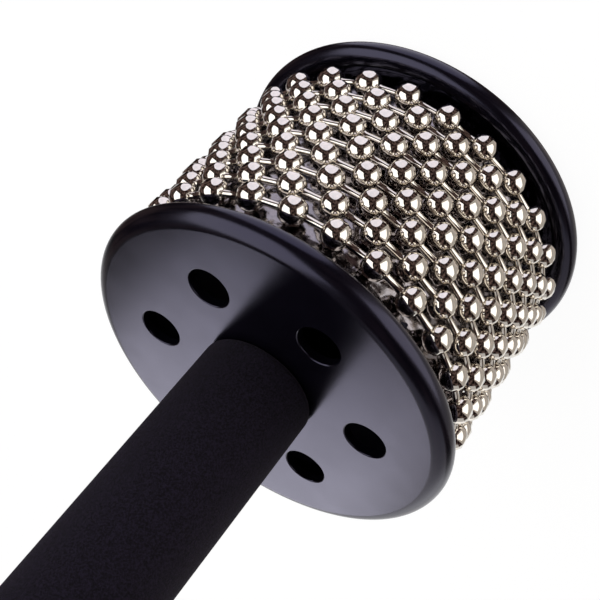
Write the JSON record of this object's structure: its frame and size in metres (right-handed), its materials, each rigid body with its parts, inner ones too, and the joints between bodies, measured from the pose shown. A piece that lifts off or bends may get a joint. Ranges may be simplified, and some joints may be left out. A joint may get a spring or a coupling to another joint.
{
  "type": "cabasa",
  "caption": "Hand-held cabasa: steel ball chains looped round a textured metal drum between two black flanges with sound holes, on a straight foam-covered handle.",
  "frame": {"origin": "centre of the end flange's outer face, on which the instrument stands", "axes": "+Z from the head up along the handle, -Y towards the player, +X to the player's right"},
  "size_m": [0.095, 0.095, 0.2189],
  "materials": {
    "black_plastic": "satin black moulding",
    "tube_plastic": "plain dark tube",
    "textured_steel": "bright sheet with an embossed, crumpled texture",
    "bead_nickel": "bright nickel plate",
    "turned_wood": "plain turned hardwood",
    "grip_foam": "matt cellular foam",
    "cap_plastic": "matt black moulding",
    "plain_steel": "zinc plated"
  },
  "bodies": {
    "head_and_handle": {"end_flange": "black_plastic", "handle_flange": "black_plastic", "drum_tube": "tube_plastic", "textured_sleeve": "textured_steel", "handle_rod": "turned_wood", "foam_grip": "grip_foam", "end_cap": "cap_plastic", "clamp_screw": "plain_steel", "clamp_washer": "plain_steel"},
    "bead_loop_1": {"bead_loop_1_balls": "bead_nickel", "bead_loop_1_links": "bead_nickel"},
    "bead_loop_2": {"bead_loop_2_balls": "bead_nickel", "bead_loop_2_links": "bead_nickel"},
    "bead_loop_3": {"bead_loop_3_balls": "bead_nickel", "bead_loop_3_links": "bead_nickel"},
    "bead_loop_4": {"bead_loop_4_balls": "bead_nickel", "bead_loop_4_links": "bead_nickel"},
    "bead_loop_5": {"bead_loop_5_balls": "bead_nickel", "bead_loop_5_links": "bead_nickel"},
    "bead_loop_6": {"bead_loop_6_balls": "bead_nickel", "bead_loop_6_links": "bead_nickel"},
    "bead_loop_7": {"bead_loop_7_balls": "bead_nickel", "bead_loop_7_links": "bead_nickel"},
    "bead_loop_8": {"bead_loop_8_balls": "bead_nickel", "bead_loop_8_links": "bead_nickel"},
    "bead_loop_9": {"bead_loop_9_balls": "bead_nickel", "bead_loop_9_links": "bead_nickel"}
  },
  "joints": [
    {"name": "bead_loop_1_turn", "type": "hinge", "parent": "head_and_handle", "child": "bead_loop_1", "pos_m": [0, 0, 0.0134], "axis": [0, 0, 1], "continuous": true},
    {"name": "bead_loop_2_turn", "type": "hinge", "parent": "head_and_handle", "child": "bead_loop_2", "pos_m": [0, 0, 0.01883], "axis": [0, 0, 1], "continuous": true},
    {"name": "bead_loop_3_turn", "type": "hinge", "parent": "head_and_handle", "child": "bead_loop_3", "pos_m": [0, 0, 0.02427], "axis": [0, 0, 1], "continuous": true},
    {"name": "bead_loop_4_turn", "type": "hinge", "parent": "head_and_handle", "child": "bead_loop_4", "pos_m": [0, 0, 0.02973], "axis": [0, 0, 1], "continuous": true},
    {"name": "bead_loop_5_turn", "type": "hinge", "parent": "head_and_handle", "child": "bead_loop_5", "pos_m": [0, 0, 0.03524], "axis": [0, 0, 1], "continuous": true},
    {"name": "bead_loop_6_turn", "type": "hinge", "parent": "head_and_handle", "child": "bead_loop_6", "pos_m": [0, 0, 0.04085], "axis": [0, 0, 1], "continuous": true},
    {"name": "bead_loop_7_turn", "type": "hinge", "parent": "head_and_handle", "child": "bead_loop_7", "pos_m": [0, 0, 0.0466], "axis": [0, 0, 1], "continuous": true},
    {"name": "bead_loop_8_turn", "type": "hinge", "parent": "head_and_handle", "child": "bead_loop_8", "pos_m": [0, 0, 0.05256], "axis": [0, 0, 1], "continuous": true},
    {"name": "bead_loop_9_turn", "type": "hinge", "parent": "head_and_handle", "child": "bead_loop_9", "pos_m": [0, 0, 0.0588], "axis": [0, 0, 1], "continuous": true}
  ],
  "couplings": [
    {"joint": "bead_loop_2_turn", "follows": "bead_loop_1_turn", "ratio": 1},
    {"joint": "bead_loop_3_turn", "follows": "bead_loop_1_turn", "ratio": 1},
    {"joint": "bead_loop_4_turn", "follows": "bead_loop_1_turn", "ratio": 1},
    {"joint": "bead_loop_5_turn", "follows": "bead_loop_1_turn", "ratio": 1},
    {"joint": "bead_loop_6_turn", "follows": "bead_loop_1_turn", "ratio": 1},
    {"joint": "bead_loop_7_turn", "follows": "bead_loop_1_turn", "ratio": 1},
    {"joint": "bead_loop_8_turn", "follows": "bead_loop_1_turn", "ratio": 1},
    {"joint": "bead_loop_9_turn", "follows": "bead_loop_1_turn", "ratio": 1}
  ]
}
